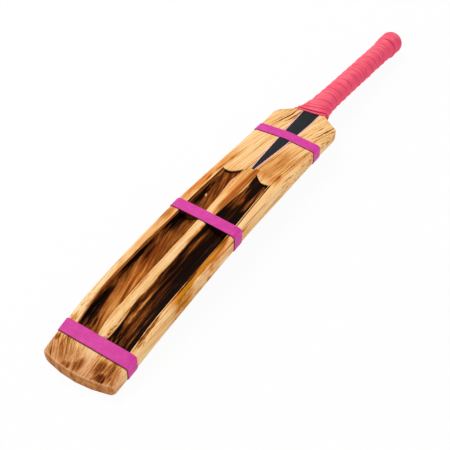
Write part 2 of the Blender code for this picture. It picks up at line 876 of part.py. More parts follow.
def build_collar(material):
    base = TWINE_RADIUS + 2 * GAP + SLEEVE_THICKNESS
    start = HANDLE_END - KNOB_RAMP_START
    end = HANDLE_END - KNOB_RAMP_END
    tube(
        "butt_collar",
        [start, end, mix(end, CANE_END, 0.5), CANE_END],
        round_point(lambda x: base),
        round_point(collar_radius),
        material,
    )


def build_plug(material):
    """Round end plug of the handle, its rim rounded and its end flat."""
    rings = []
    shape = [(0.0, 0.0)]
    for degrees in (0, 30, 60, 90):
        angle = math.radians(degrees)
        back = PLUG_ROUND * (1 - math.sin(angle))
        shape.append((PLUG_THICKNESS - back, PLUG_ROUND * (1 - math.cos(angle))))
    for along, inset in shape:
        rings.append([plug_point(along, PLUG_RADIUS - inset, angle) for angle in angles()])
    new_solid("butt_end_plug", *loft(rings), material, rounded=True)


def wrap_inner(u, angle):
    """Distance that the wrap's underside stands off the neck's oval."""
    x = saddle(u, angle)
    over_sleeve = GAP + SLEEVE_THICKNESS + GAP
    start = HANDLE_END - KNOB_RAMP_START - WRAP_LEAD
    over_collar = collar_radius(x + WRAP_LEAD) + GAP - TWINE_RADIUS
    return mix(over_sleeve, over_collar, smooth((x - start + WRAP_LEAD) / WRAP_LEAD))


def wrap_edges(turn):
    """Toe side and knob side edge of the wound strip after a number of turns."""
    first = HEM_AT + WRAP_START
    last = CANE_END
    base = first - WRAP_TURN_GAP
    low = max(first, base + WRAP_PITCH * (turn - 1) + WRAP_TURN_GAP)
    high = min(base + WRAP_PITCH * turn, last)
    return low, high


def build_wrap(material):
    """Grip tape as one strip wound up the handle, pointed at both ends, its upper edge raised."""
    rings = []
    across = [0.0, 0.33, 0.67, 1.0]
    step = 0
    while step < SIDES * 40:
        turn = step / SIDES
        angle = 2 * math.pi * turn
        low, high = wrap_edges(turn)
        step += 1
        if high - low < WRAP_POINT_WIDTH:
            if rings:
                break
            continue
        ring = []
        for v in across:
            u = mix(low, high, v)
            ring.append(oval_point(saddle(u, angle), wrap_inner(u, angle), angle))
        for v in (1.0, 0.55, 0.0):
            u = mix(low, high, v)
            wall = mix(WRAP_THIN_EDGE, WRAP_THICK_EDGE, v)
            ring.append(oval_point(saddle(u, angle), wrap_inner(u, angle) + wall, angle))
        rings.append(ring)
    new_solid("grip_wrap", *loft(rings), material, rounded=True)
    least = 1.0
    for i in range(len(rings) - SIDES):
        knob_side = np.array([rings[i][3], rings[i][4]])
        for j in (i + SIDES - 1, i + SIDES, i + SIDES + 1):
            if j < len(rings):
                toe_side = np.array([rings[j][0], rings[j][6]])
                apart = np.linalg.norm(knob_side[:, None] - toe_side[None], axis=2)
                least = min(least, float(apart.min()))
    print(f"grip wrap: {len(rings) / SIDES:.1f} turns, least gap to itself {least * 1000:.2f} mm")


def build_bat():
    clear_file()
    willow = new_material("burnt_willow", (0.66, 0.42, 0.19), 0.5)
    cane = new_material("cane", (0.72, 0.55, 0.30), 0.6)
    rubber = new_material("strip_rubber", (0.05, 0.05, 0.05), 0.8)
    twine = new_material("glued_twine", (0.62, 0.55, 0.42), 0.7)
    grip = new_material("grip_rubber", (0.85, 0.16, 0.24), 0.6)
    wrap = new_material("grip_tape", (0.87, 0.13, 0.22), 0.6)
    magenta = new_material("magenta_tape", (0.72, 0.05, 0.37), 0.5)
    black = new_material("black_film", (0.02, 0.022, 0.022), 0.4)
    pink = new_material("pink_piping", (0.62, 0.14, 0.27), 0.5)
    build_blade(willow)
    build_splice_trim(black, pink)
    build_band("toe_binding_band", TOE_BAND_AT, TOE_BAND_SKEW, magenta)
    build_band("middle_binding_band", MIDDLE_BAND_AT, MIDDLE_BAND_SKEW, magenta)
    build_band("shoulder_binding_band", SHOULDER_BAND_AT, SHOULDER_BAND_SKEW, magenta)
    build_handle_core(build_blank(), cane, rubber)
    build_twine(twine)
    build_sleeve(grip)
    build_collar(rubber)
    build_plug(grip)
    build_wrap(wrap)


build_bat()
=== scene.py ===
# Looks of the tennis ball cricket bat: burnt willow, magenta tape bands, black splice cover, wound grip.
# Metres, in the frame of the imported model. Places along the bat are measured from the toe corners.

import math
from types import SimpleNamespace

import bpy
from mathutils import Euler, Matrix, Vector, noise


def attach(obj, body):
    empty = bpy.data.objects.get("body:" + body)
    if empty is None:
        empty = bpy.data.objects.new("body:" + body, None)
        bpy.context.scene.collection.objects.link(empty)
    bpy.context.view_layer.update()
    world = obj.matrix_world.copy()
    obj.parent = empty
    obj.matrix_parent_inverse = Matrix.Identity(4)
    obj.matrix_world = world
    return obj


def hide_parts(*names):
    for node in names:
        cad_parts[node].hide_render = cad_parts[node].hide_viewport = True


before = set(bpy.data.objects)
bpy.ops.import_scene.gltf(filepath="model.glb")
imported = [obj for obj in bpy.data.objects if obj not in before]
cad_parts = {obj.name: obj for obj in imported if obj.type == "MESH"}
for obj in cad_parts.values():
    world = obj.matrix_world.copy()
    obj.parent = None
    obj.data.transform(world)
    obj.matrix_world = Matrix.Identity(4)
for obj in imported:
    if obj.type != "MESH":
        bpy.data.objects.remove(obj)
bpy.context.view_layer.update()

# Sizes shared with the part's source. A tape band has its middle's place and its skew at the blade's side.
ORIGIN_X = 0.4255
GAP = 0.0003
BLADE_HALF = 0.053
BAND_WIDTH = 0.0179
BANDS = {"toe": (0.0364, 0.0022), "middle": (0.2697, 0.0046), "shoulder": (0.4859, 0.0027)}
NECK_AT = 0.5605
NECK_WIDTH = 0.0565
NECK_LEVEL = 0.0408
NECK_BACK = 0.0056
NECK_FRONT = 0.0200
NECK_FLARE = 0.0160
HANDLE_HEIGHT = 0.0370
HANDLE_BEND_AT = 0.6055
HANDLE_BEND_HALF = 0.015
HANDLE_CANT = math.radians(4.02)
HANDLE_END = 0.8583
CANE_END = 0.8528
TWINE_RADIUS = 0.0138
HEM_AT = 0.5635
HEM_SADDLE = 0.0060
HEM_SLANT = 0.0030
HEM_FADE = 0.055
SLEEVE_THICKNESS = 0.0012
LIP_THICKNESS = 0.0020
LIP_LENGTH = 0.0034
WRAP_START = 0.0044
WRAP_PITCH = 0.018
WRAP_THIN_EDGE = 0.0008
WRAP_THICK_EDGE = 0.0016
WRAP_TURN_GAP = 0.0006
WRAP_POINT_WIDTH = 0.0016
WRAP_LEAD = 0.0045
KNOB_RADIUS = 0.0175
KNOB_RAMP_START = 0.0355
KNOB_RAMP_END = 0.0265
COLLAR_EDGE = 0.0006
PLUG_THICKNESS = 0.0052
PLUG_ROUND = 0.0046
PLUG_RADIUS = 0.0186
PLUG_STEPS = 12

# Steps round the grip, four times as many as in the CAD model, and more turns than the wrap can have
SIDES = 96
MOST_TURNS = 20

# Fine relief of the wound tape
SEAM_SWAY = 0.0012
ROLL_LENGTH = 0.0013
TUCK = 0.0016
TUCK_SHARE = 0.05
FOLD_WIDTH = 0.0010
FOLD_DEPTH = 0.0006
GROOVE_DEPTH = 0.0011
UPPER_GROOVE = (0.0348, 0.0011)
LOWER_GROOVE = (0.0305, 0.0009)
THINNEST_TAPE = 0.0003
ROLLED_EDGE_SHADE = 0.03
TUCKED_EDGE_SHADE = 0.10
PUCKER_DEPTH = 0.00025

# CAD pieces are welded within this reach, and smooth over bends of fewer degrees than this
WELD_REACH = 0.000002
SMOOTH_BELOW = 28

# Camera that matches the photograph, and the lamps: place, width, height and power
CAMERA_PLACE = (-0.91312, -0.51662, 0.85821)
CAMERA_TURN = (48.118, 0.2057, -57.475)
CAMERA_LENS = 74.21
CAMERA_SENSOR = 36
LAMPS = {"softbox": ((0.15, 1.2, 2.1), 1.8, 1.4, 34), "fill": ((-0.5, -1.7, 0.7), 1.6, 1.2, 6)}
SKY_COLOUR = (0.97, 0.985, 1.0, 1)
SKY_STRENGTH = 0.56
FLOOR_REACH = 6.0
FLOOR_DROP = 0.0002


def smooth(t):
    t = min(max(t, 0.0), 1.0)
    return t * t * (3 - 2 * t)


def mix(a, b, t):
    return a + (b - a) * t


# Camera, floor and light


def add_camera():
    data = bpy.data.cameras.new("camera")
    data.lens = CAMERA_LENS
    data.sensor_width = CAMERA_SENSOR
    camera = bpy.data.objects.new("camera", data)
    camera.location = CAMERA_PLACE
    camera.rotation_euler = Euler([math.radians(a) for a in CAMERA_TURN])
    bpy.context.collection.objects.link(camera)
    bpy.context.scene.camera = camera


def seen_white(tree, shader, share):
    """White for the camera, mirrors and glass; the given shader for the rest and for the shadow."""
    path = tree.nodes.new("ShaderNodeLightPath")
    seen = path.outputs["Is Camera Ray"]
    for name in ("Is Glossy Ray", "Is Transmission Ray"):
        either = tree.nodes.new("ShaderNodeMath")
        either.operation = "MAXIMUM"
        tree.links.new(seen, either.inputs[0])
        tree.links.new(path.outputs[name], either.inputs[1])
        seen = either.outputs[0]
    scale = tree.nodes.new("ShaderNodeMath")
    scale.operation = "MULTIPLY"
    scale.inputs[1].default_value = share
    tree.links.new(seen, scale.inputs[0])
    join = tree.nodes.new("ShaderNodeMixShader")
    tree.links.new(scale.outputs[0], join.inputs[0])
    tree.links.new(shader, join.inputs[1])
    return join


def add_stage():
    mesh = bpy.data.meshes.new("floor")
    reach = FLOOR_REACH
    corners = [(-reach, -reach, 0), (reach, -reach, 0), (reach, reach, 0), (-reach, reach, 0)]
    mesh.from_pydata(corners, [], [(0, 1, 2, 3)])
    floor = bpy.data.objects.new("floor", mesh)
    floor.location.z = -FLOOR_DROP
    bpy.context.collection.objects.link(floor)
    material = bpy.data.materials.new("pale_floor")
    material.use_nodes = True
    tree = material.node_tree
    shader = tree.nodes["Principled BSDF"]
    shader.inputs["Base Color"].default_value = (0.86, 0.86, 0.86, 1)
    shader.inputs["Roughness"].default_value = 0.9
    glow = tree.nodes.new("ShaderNodeEmission")
    join = seen_white(tree, shader.outputs[0], 0.95)
    tree.links.new(glow.outputs[0], join.inputs[2])
    tree.links.new(join.outputs[0], tree.nodes["Material Output"].inputs[0])
    mesh.materials.append(material)


def add_light():
    world = bpy.data.worlds.new("studio")
    bpy.context.scene.world = world
    world.use_nodes = True
    tree = world.node_tree
    sky = tree.nodes["Background"]
    sky.inputs["Color"].default_value = SKY_COLOUR
    sky.inputs["Strength"].default_value = SKY_STRENGTH
    white = tree.nodes.new("ShaderNodeBackground")
    white.inputs["Color"].default_value = (1, 1, 1, 1)
    join = seen_white(tree, sky.outputs[0], 1.0)
    tree.links.new(white.outputs[0], join.inputs[2])
    tree.links.new(join.outputs[0], tree.nodes["World Output"].inputs[0])
    for name, (place, width, height, power) in LAMPS.items():
        data = bpy.data.lights.new(name, "AREA")
        data.shape = "RECTANGLE"
        data.size = width
        data.size_y = height
        data.energy = power
        lamp = bpy.data.objects.new(name, data)
        lamp.location = place
        lamp.rotation_euler = (Vector((0, 0, 0)) - lamp.location).to_track_quat("-Z", "Y").to_euler()
        bpy.context.collection.objects.link(lamp)


# Materials


def tint(red, green, blue):
    """Colour from its usual 0 to 255 numbers."""
    shares = [c / 255 for c in (red, green, blue)]
    return tuple(s / 12.92 if s <= 0.04045 else ((s + 0.055) / 1.055) ** 2.4 for s in shares) + (1.0,)


class Paint:
    """A material and short ways to add nodes to it. Places are in millimetres from the toe corners."""

    def __init__(self, name):
        self.material = bpy.data.materials.new(name)
        self.material.use_nodes = True
        self.tree = self.material.node_tree
        self.shader = self.tree.nodes["Principled BSDF"]
        where = self.node("ShaderNodeTexCoord").outputs["Object"]
        self.place = self.spread(where, (1000, 1000, 1000), (ORIGIN_X * 1000, 0, 0))

    def node(self, kind, **settings):
        node = self.tree.nodes.new(kind)
        for name, value in settings.items():
            setattr(node, name, value)
        return node

    def feed(self, socket, value):
        if isinstance(value, bpy.types.NodeSocket):
            self.tree.links.new(value, socket)
        else:
            socket.default_value = value

    def spread(self, place, scale, shift=(0, 0, 0)):
        node = self.node("ShaderNodeMapping")
        self.feed(node.inputs["Vector"], place)
        node.inputs["Location"].default_value = shift
        node.inputs["Scale"].default_value = scale
        return node.outputs[0]

    def axes(self, place):
        node = self.node("ShaderNodeSeparateXYZ")
        self.feed(node.inputs[0], place)
        return node.outputs

    def join(self, x, y, z):
        node = self.node("ShaderNodeCombineXYZ")
        for socket, value in zip(node.inputs, (x, y, z)):
            self.feed(socket, value)
        return node.outputs[0]

    def math(self, operation, *values):
        """One sum of a kind over all the values, taken from left to right."""
        total = values[0]
        for value in values[1:] or (0.0,):
            node = self.node("ShaderNodeMath", operation=operation)
            self.feed(node.inputs[0], total)
            self.feed(node.inputs[1], value)
            total = node.outputs[0]
        return total

    def add(self, *values):
        return self.math("ADD", *values)

    def less(self, *values):
        return self.math("SUBTRACT", *values)

    def times(self, *values):
        return self.math("MULTIPLY", *values)

    def most(self, *values):
        return self.math("MAXIMUM", *values)

    def least(self, *values):
        return self.math("MINIMUM", *values)

    def rise(self, value, start, end, low=0.0, high=1.0):
        """Smooth step of a value, from low at start to high at end."""
        node = self.node("ShaderNodeMapRange", interpolation_type="SMOOTHSTEP")
        for socket, number in zip(node.inputs, (value, start, end, low, high)):
            self.feed(socket, number)
        return node.outputs[0]

    def window(self, value, start, full, still, end):
        """Smooth steps up from start to full, and down again from still to end."""
        return self.times(self.rise(value, start, full), self.rise(value, end, still))

    def line(self, value, start, end, low, high):
        """Straight run of a value, from low at start to high at end, level outside."""
        node = self.node("ShaderNodeMapRange")
        for socket, number in zip(node.inputs, (value, start, end, low, high)):
            self.feed(socket, number)
        return node.outputs[0]

    def tones(self, noise_value, low, high):
        """The usual range of a noise, turned into the range from low to high."""
        return self.line(noise_value, 0.3, 0.7, low, high)

    def push(self, value, noise_value, reach):
        """A value pushed up and down by a noise, by at most the reach."""
        return self.add(value, self.line(noise_value, 0, 1, -reach, reach))

    def noise(self, place, scale, detail=3.0, roughness=0.55):
        """Noise with so many cells a millimetre along, across and up."""
        node = self.node("ShaderNodeTexNoise")
        self.feed(node.inputs["Vector"], self.spread(place, scale))
        node.inputs["Scale"].default_value = 1.0
        node.inputs["Detail"].default_value = detail
        node.inputs["Roughness"].default_value = roughness
        return node.outputs["Fac"]

    def ramp(self, value, stops):
        node = self.node("ShaderNodeValToRGB")
        self.feed(node.inputs[0], value)
        points = node.color_ramp.elements
        while len(points) < len(stops):
            points.new(1.0)
        for point, (at, colour) in zip(points, stops):
            point.position = at
            point.color = colour
        return node.outputs[0]

    def clouds(self, noise_value, dark, light):
        """Two near colours, dark and light, in the clouds of a noise."""
        return self.ramp(noise_value, [(0.3, tint(*dark)), (0.7, tint(*light))])

    def blend(self, share, a, b, kind="MIX"):
        node = self.node("ShaderNodeMix", data_type="RGBA", blend_type=kind)
        self.feed(node.inputs[0], share)
        self.feed(node.inputs[6], a)
        self.feed(node.inputs[7], b)
        return node.outputs[2]

    def spots(self, place, marks):
        """Strongest of some soft oval marks, each a ball of falling strength stretched to its size."""
        fade = 1.45
        endless = 10000
        strongest = 0.0
        for along, across, long, wide, strength, lean in marks:
            node = self.node("ShaderNodeMapping", vector_type="TEXTURE")
            self.feed(node.inputs["Vector"], place)
            node.inputs["Location"].default_value = (along, across, 0)
            node.inputs["Rotation"].default_value = (0, 0, math.radians(lean))
            node.inputs["Scale"].default_value = (long * fade, wide * fade, endless)
            ball = self.node("ShaderNodeTexGradient", gradient_type="SPHERICAL")
            self.feed(ball.inputs[0], node.outputs[0])
            mark = self.rise(ball.outputs["Fac"], 0.0, 0.8, 0.0, strength)
            strongest = self.most(strongest, mark)
        return strongest

    def bump(self, height, distance, strength=1.0):
        node = self.node("ShaderNodeBump")
        node.inputs["Distance"].default_value = distance
        node.inputs["Strength"].default_value = strength
        self.feed(node.inputs["Height"], height)
        self.feed(self.shader.inputs["Normal"], node.outputs[0])


# Willow of the blade. Places are in millimetres: along from the toe corners, across from the middle with the
# left side positive. A mark is a soft oval: place along and across, half length, half width, strength, lean.

# Outline of the toe: its bulge past the corners, and the curve that takes it back to them
TOE_BULGE = 8.3
TOE_CURVE = 340

# The scoops: where they start, and where their mouths end by the spine and at mid width
SCOOP_START = 38
MOUTH_ACROSS = (9.5, 24.5)
MOUTH_ALONG = (383.6, 370.6)

# Height of the blade's rims along it, and the rise of the back's roof up to mid length and on to the tip
RIM_HEIGHTS = ((0, 16.9), (36, 27.3), (100, 41.3), (180, 47.5), (270, 51.2), (390, 49.35), (485, 46.0))
RIM_SPAN = 600
ROOF_RISES = (0.8, 1.6)

# Outer walls of the scoops: side, place across at the toe, narrowing by the middle, offset of the scorch
WALLS = ((1, 42.0, 4.2, 0.0), (-1, 43.2, 0.0, 1.5))
WALL_AT_MOUTH = 36.7

OUTSIDE_SCORCHES = (
    (52, 46, 9, 3, 0.34, 0), (76, -46, 28, 2.6, 0.60, 0), (252, 47, 22, 8, 0.36, 0),
    (236, -47, 30, 5, 0.45, 3), (330, 44, 60, 5, 0.26, 0), (546, 46, 6, 5, 0.34, 0),
    (515, 30, 40, 7, 0.20, -12), (155, -46, 40, 2.4, 0.60, 3), (390, -22, 14, 10, 0.34, -10),
    (402, 37, 12, 3.5, 0.34, -20), (371, 41.5, 16, 3, 0.40, -8), (346, 43.5, 12, 2.5, 0.40, 0),
    (215, -49.5, 40, 1.8, 0.45, 3), (389, -37, 20, 9, 0.36, 0), (145, -51.6, 24, 1.6, 0.6, 3),
)
TOE_SCORCHES = (
    (3, 2, 12, 9, 0.54, 0), (-3, 16, 8, 9, 0.50, 0), (14, 32, 26, 15, 0.42, 24), (13, -22, 15, 10, 0.56, 0),
    (1, -31, 9, 10, 0.74, 0), (12, -38, 22, 12, 0.48, 0), (22, 48, 7, 6, 0.46, 0), (4, 44, 10, 8, 0.42, 0),
)
SHOULDER_LINES = (
    (539, 17, 24, 1.7, 0.62, -15), (533, 25, 26, 1.2, 0.52, -15), (524, 33, 26, 1.2, 0.42, -14),
    (541, 11.5, 14, 1.2, 0.50, -17), (530, -42, 24, 1.3, 0.58, -14), (538, -35, 20, 1.0, 0.40, -14),
    (520, -30, 26, 1.0, 0.32, -12), (506, -40, 22, 1.0, 0.30, -12),
)
PALE_RIMS = ((82, 50, 50, 9, 0.26, 0), (205, -56, 60, 5, 0.16, 0))
LEFT_SCORCHES = (
    (82, 37, 50, 13, 1.0, 0), (60, 27, 18, 8, 0.8, 0), (165, 41, 54, 6.5, 0.95, 0),
    (190, 32, 28, 6, 0.75, 0), (254, 34, 26, 11, 1.0, 0), (262, 14, 12, 10, 0.55, 0),
    (316, 38, 34, 8, 1.0, 0), (357, 39, 22, 5, 0.8, 0), (205, 7, 66, 2.2, 0.78, 0),
    (335, 20, 40, 3.5, 0.6, 14), (120, 9, 30, 2.2, 0.5, 0), (375, 22, 7, 16, 0.62, 0),
    (240, 20, 26, 14, 0.52, 8), (352, 26, 30, 12, 0.55, 10), (362, 12, 16, 4, 0.72, -8),
    (332, 38.5, 22, 3.6, 1.0, 5), (300, 24, 14, 6, 0.72, 0),
)
LEFT_RIDGE = (
    (367, 40, 8, 1.3, 0.95, 28), (354, 35.2, 9, 1.4, 0.95, 10), (338, 34.2, 9, 1.5, 0.95, 4),
    (327, 32.6, 6, 1.6, 0.9, 16),
)
# Paler patches in the left scoop; the first mark is a small painted highlight
LEFT_PALE_AND_HIGHLIGHT = (
    (316, 30.5, 2.6, 1.0, 0.7, 20), (352, 25, 20, 2.0, 0.16, 18), (150, 17, 40, 3, 0.14, 14),
    (104, 19, 40, 6, 0.15, 10),
)
RIGHT_SCORCHES = (
    (64, -15, 22, 9, 1.0, 0), (110, -36, 96, 9.5, 1.05, 0), (215, -27, 90, 12, 1.0, 0),
    (292, -32, 50, 12, 1.0, 0), (352, -22, 38, 14, 0.88, 0), (378, -24, 14, 15, 1.0, 0),
    (170, -10.5, 110, 1.9, 0.70, 0),
)
RIGHT_PALE = (
    (328, -16, 26, 4.5, 0.40, 0), (330, -29, 22, 4, 0.36, 0), (100, -14, 60, 2.6, 0.42, 0),
    (90, -22, 40, 5, 0.2, 0), (232, -15, 26, 3, 0.25, 0), (352, -34, 18, 2.5, 0.4, 0),
)
SPINE_MARKS = (
    (240, -8, 26, 3.6, 0.48, 0), (298, -5, 26, 2.2, 0.44, 0), (62, -6, 6, 1.8, 0.6, -30),
    (100, -8, 30, 2, 0.35, 0), (53, -6, 4, 2, 0.6, 40), (73, -8.5, 6, 1.6, 0.55, -20),
)
AMBER = (
    (150, -48, 30, 5, 0.95, 0), (190, -48, 46, 5, 0.65, 0), (235, -48, 28, 6, 0.5, 0),
    (252, 46, 18, 8, 0.5, 0), (325, 47, 52, 6, 0.7, 0), (390, 45, 26, 8, 0.55, 0),
    (386, -18, 10, 5, 0.45, 0), (140, 18, 26, 8, 0.5, 0), (185, 28, 34, 7, 0.5, 0),
    (210, 48, 46, 4, 0.4, 0), (345, 18, 40, 12, 0.35, 0), (330, -22, 20, 6, 0.4, 0),
    (425, -26, 56, 20, 0.2, -6), (389, -37, 20, 9, 0.4, 0), (345, -3, 55, 5, 0.5, 0),
    (230, -48, 34, 6, 0.6, 0),
)
HONEY = (
    (150, -50, 32, 4.2, 1.0, 3), (192, -48.5, 48, 3.8, 0.9, 3), (398, 40, 26, 4, 0.4, -12),
    (236, 48, 20, 5, 0.3, 0),
)


def wood_places(paint):
    """Places on the blade and the noises that its grain and burns are made from."""
    along, across, up = paint.axes(paint.place)
    ragged = paint.noise(paint.place, (0.035, 0.10, 0.05), 3.0)
    streaky = paint.noise(paint.place, (0.014, 0.34, 0.15), 4.0, 0.6)

    # Grain: straight up the blade, leaning over toward the shoulders and across the toe's left part
    lean = paint.times(paint.most(paint.less(along, 380), 0.0), 0.09)
    more = paint.times(paint.most(paint.less(along, 465), 0.0), 0.17)
    toe_lean = paint.times(paint.line(along, 40, -10, 0, 28), paint.rise(across, -12, 25))
    leaned = paint.join(along, paint.add(across, lean, more, toe_lean), up)
    broad = paint.noise(leaned, (0.006, 0.10, 0.06), 2.0)

    # Past the toe's outline; the end face is where this is near zero
    toe_arc = paint.math("DIVIDE", paint.times(across, across), TOE_CURVE)
    return SimpleNamespace(
        along=along, across=across, up=up, ragged=ragged, streaky=streaky, leaned=leaned, broad=broad,
        grain=paint.noise(leaned, (0.011, 0.45, 0.25), 4.0, 0.62),
        lines=paint.rise(paint.noise(leaned, (0.0050, 0.75, 0.3), 3.5, 0.75), 0.52, 0.62),
        fine=paint.noise(leaned, (0.04, 1.5, 0.9), 3.0, 0.6),
        comb=paint.tones(paint.noise(leaned, (0.02, 0.62, 0.1), 2.0), 0.55, 1.25),
        moved=paint.join(paint.push(along, streaky, 14), paint.push(across, ragged, 5), 0.0),
        nearly=paint.join(paint.push(along, broad, 5), paint.push(across, ragged, 3), 0.0),
        on_toe=paint.rise(along, 30, 10),
        past_toe=paint.less(along, paint.less(toe_arc, TOE_BULGE)),
    )


def outside_tone(paint, wood):
    """How dark the wood is outside the scoops: grain, toe streaks, scorch marks and fine lines."""
    toe = paint.times(paint.spots(wood.nearly, TOE_SCORCHES), wood.comb)
    dark = paint.most(
        paint.spots(wood.moved, OUTSIDE_SCORCHES), toe, paint.spots(wood.nearly, SHOULDER_LINES))
    dark = paint.times(dark, paint.rise(wood.past_toe, 0.2, 3.5, 0.45, 1.0))
    feather = paint.times(
        paint.line(wood.streaky, 0.25, 0.75, -0.35, 0.35), paint.rise(dark, 0.0, 0.4),
        paint.rise(wood.along, 14, 34, 0.2, 1.0))
    combed = paint.times(
        wood.on_toe, paint.rise(wood.past_toe, 0.2, 2.5), paint.line(wood.comb, 0.55, 1.25, 0.02, 0.22))
    beside_tip = paint.times(
        paint.window(wood.across, 2, -12, -36, -48), paint.window(wood.along, 372, 392, 425, 480),
        paint.tones(wood.grain, 0.02, 0.20))
    end_face = paint.rise(wood.past_toe, 1.4, 0.2, 0.0, 0.20)
    tone = paint.add(
        paint.tones(wood.broad, 0.02, 0.20), paint.tones(wood.grain, -0.06, 0.09),
        combed, beside_tip, end_face)
    tone = paint.less(tone, paint.spots(wood.nearly, PALE_RIMS))
    tone = paint.most(tone, paint.add(dark, feather))
    strength = paint.add(paint.line(wood.broad, 0.35, 0.65, 0.18, 0.40), paint.times(wood.on_toe, -0.08))
    strength = paint.times(strength, paint.rise(wood.past_toe, 0.2, 2.5, 0.25, 1.0))
    return paint.add(tone, paint.times(wood.lines, strength))


def drawn_out(paint, wood, dark):
    """Scorch marks with their edges drawn out in streaks."""
    return paint.add(dark, paint.times(paint.tones(wood.streaky, -0.5, 0.4), paint.rise(dark, 0.0, 0.35)))


def left_scoop_tone(paint, wood):
    """How dark the left scoop is: slanting brown figure with burns along its outer wall."""
    drift = paint.less(wood.across, paint.times(wood.along, 0.27))
    slanted = paint.join(wood.along, drift, wood.up)
    streaks = paint.noise(slanted, (0.018, 0.26, 0.1), 5.0, 0.65)
    fine = paint.noise(slanted, (0.03, 1.1, 0.4), 3.0, 0.6)
    tone = paint.add(
        paint.line(streaks, 0.28, 0.72, 0.33, 0.72), paint.line(wood.along, 130, 380, 0.0, 0.14),
        paint.tones(fine, -0.08, 0.08))
    dark = paint.most(paint.spots(wood.moved, LEFT_SCORCHES), paint.spots(wood.nearly, LEFT_RIDGE))
    tone = paint.least(paint.most(tone, drawn_out(paint, wood, dark)), 1.0)
    # Paler patches, and one small painted highlight, are taken off the tone
    return paint.less(tone, paint.spots(wood.nearly, LEFT_PALE_AND_HIGHLIGHT))


def right_scoop_tone(paint, wood):
    """How dark the right scoop is: nearly black, with brown patches and thin paler lines."""
    lines = paint.rise(paint.noise(paint.place, (0.008, 1.15, 0.4), 3.0, 0.6), 0.52, 0.64, 0.0, 0.13)
    streaks = paint.noise(paint.place, (0.011, 0.34, 0.1), 5.0, 0.65)
    tone = paint.add(
        paint.line(streaks, 0.28, 0.72, 0.48, 1.06), paint.line(wood.along, 60, 180, -0.06, 0.08))
    tone = paint.most(tone, drawn_out(paint, wood, paint.spots(wood.moved, RIGHT_SCORCHES)))
    pale = paint.times(paint.spots(wood.moved, RIGHT_PALE), paint.line(wood.streaky, 0.25, 0.75, 0.5, 1.2))
    tone = paint.add(paint.less(tone, pale), 0.06)
    return paint.less(paint.least(tone, 1.0), lines)


def spine_tone(paint, wood):
    """How dark the spine between the scoops is."""
    tone = paint.add(
        paint.tones(wood.broad, -0.02, 0.16), paint.tones(wood.grain, -0.06, 0.10),
        paint.line(wood.along, 265, 330, 0.0, 0.16), paint.times(wood.lines, 0.14))
    return paint.most(tone, paint.spots(wood.moved, SPINE_MARKS))


def spine_share(paint, wood, wavy):
    """One on the spine's pale top, fading over its soft sides."""
    left_edge = paint.add(
        paint.line(wood.along, 46, 75, 6.0, 2.6), paint.line(wood.along, 255, 290, 0, 3.4))
    right_edge = paint.add(
        paint.line(wood.along, 46, 75, -5.5, -7.2), paint.line(wood.along, 255, 290, 0, 3.0))
    return paint.times(
        paint.rise(paint.less(wavy, left_edge), 1.6, -1.2),
        paint.rise(paint.less(wavy, right_edge), -2.4, 1.2),
        paint.rise(wood.along, SCOOP_START, SCOOP_START + 6))


def depth_below_rims(paint, wood, off_middle):
    """Depth below the blade's back, which tells the hollows from the rest."""
    rim = paint.ramp(paint.math("DIVIDE", wood.along, RIM_SPAN), [
        (at / RIM_SPAN, (height / 100, height / 100, height / 100, 1)) for at, height in RIM_HEIGHTS
    ])
    first, second = ROOF_RISES
    roof = paint.add(paint.line(wood.along, 36, 270, 0, first), paint.line(wood.along, 270, 390, 0, second))
    roof_share = paint.less(0.81, paint.math("DIVIDE", off_middle, 49.5))
    return paint.less(paint.add(paint.times(rim, 100), paint.times(roof, roof_share)), wood.up)


def arris_scorches(paint, wood):
    """Thin scorched lines just outside the scoops' outer walls."""
    scorch = paint.add(
        paint.line(wood.along, 70, 130, 0.15, 0.34), paint.line(wood.along, 250, 290, 0.0, 0.2))
    marks = []
    for side, start, narrowed, offset in WALLS:
        wall = paint.less(start, paint.line(wood.along, 100, 270, 0, narrowed))
        wall = paint.less(wall, paint.line(wood.along, 262, 371, 0, start - narrowed - WALL_AT_MOUTH))
        past = paint.less(paint.times(wood.across, side), paint.add(wall, offset))
        marks.append(paint.times(
            paint.window(past, -0.8, 0.0, 0.5, 1.8), paint.window(wood.along, 36, 40, 370, 374), scorch))
    return paint.add(*marks)


